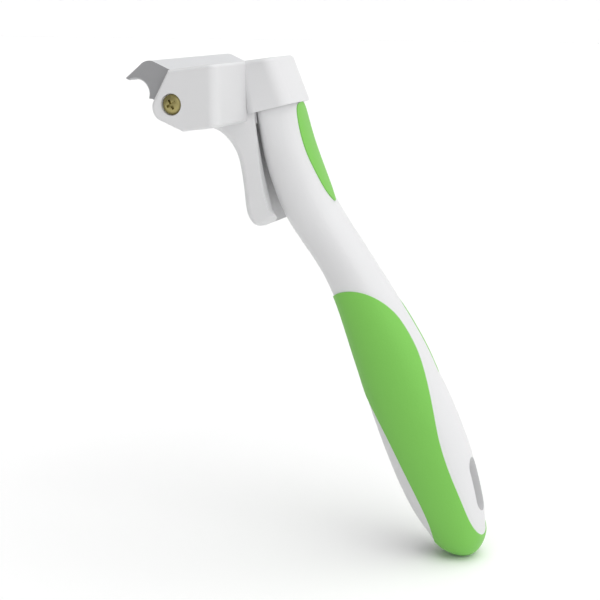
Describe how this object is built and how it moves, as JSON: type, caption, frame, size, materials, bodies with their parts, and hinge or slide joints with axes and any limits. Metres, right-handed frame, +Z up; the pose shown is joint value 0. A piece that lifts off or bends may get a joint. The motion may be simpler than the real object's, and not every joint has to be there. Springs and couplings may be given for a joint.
{
  "type": "pet deshedding tool",
  "caption": "Hand-held deshedding tool: toothed steel blade across a T-shaped head that slides off a curved handle with a soft grip, thumb pad and hang hole.",
  "frame": {"origin": "the centre of the palm grip, on the axis of the handle at its fullest section", "axes": "-X towards the way the blade points, +Y along the blade away from the viewer, +Z up from the butt to the head"},
  "size_m": [0.1196, 0.073, 0.1733],
  "materials": {
    "white_plastic": "satin",
    "green_rubber": "soft touch",
    "dark_plastic": "matte",
    "blade_steel": "brushed",
    "zinc_steel": "zinc plated",
    "brass": "bright"
  },
  "bodies": {
    "handle": {"handle_shell_left": "white_plastic", "handle_shell_right": "white_plastic", "grip_overmould": "green_rubber", "thumb_pad": "green_rubber", "neck_spigot": "dark_plastic", "shell_screw_upper": "zinc_steel", "shell_screw_middle": "zinc_steel", "shell_screw_lower": "zinc_steel"},
    "head": {"head_housing": "white_plastic", "blade_carrier": "dark_plastic", "blade": "blade_steel", "blade_screw_left": "brass", "blade_screw_right": "brass", "thread_insert_left": "brass", "thread_insert_right": "brass", "blade_dowel_left": "zinc_steel", "blade_dowel_right": "zinc_steel"}
  },
  "joints": [
    {"name": "head_slide", "type": "slide", "parent": "handle", "child": "head", "axis": [-0.247, 0, 0.969], "range_m": [0, 0.05]}
  ]
}
